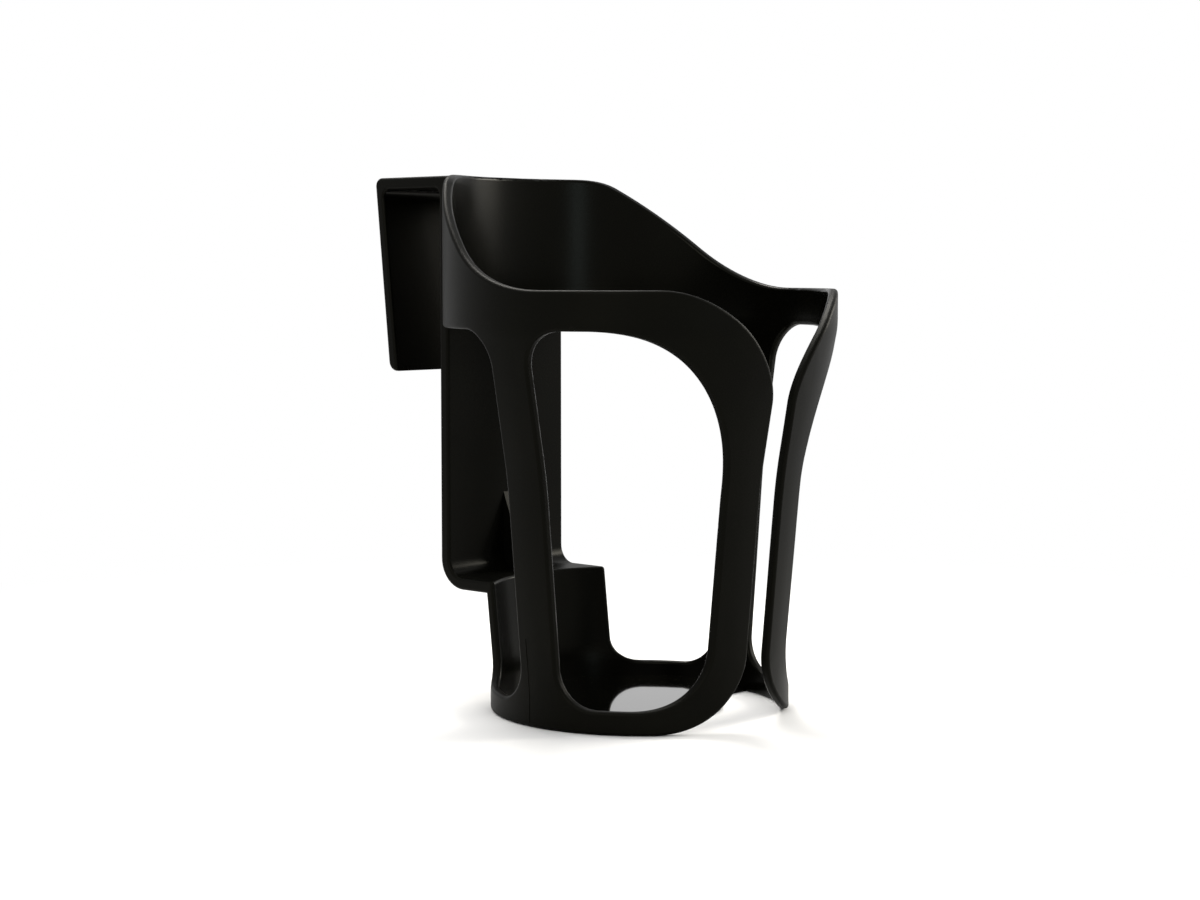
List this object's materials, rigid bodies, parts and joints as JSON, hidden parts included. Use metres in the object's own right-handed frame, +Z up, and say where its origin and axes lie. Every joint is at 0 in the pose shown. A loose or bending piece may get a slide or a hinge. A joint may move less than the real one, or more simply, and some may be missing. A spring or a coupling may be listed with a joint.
{
  "type": "cup holder",
  "caption": "One-piece plastic cup holder: a round windowed cage, split at the front, with a rising collar and a back strap that folds over into a hook for hanging on a panel edge.",
  "frame": {"origin": "on the cup's axis, at the underside of the floor", "axes": "+Z up along the cup's axis, +Y towards the hook at the back, +X to the side; the slit in the front faces -Y"},
  "size_m": [0.0952, 0.1178, 0.13],
  "materials": {
    "plastic": "satin black, glossier inside"
  },
  "bodies": {
    "root": {"cup_holder": "plastic"}
  },
  "joints": []
}
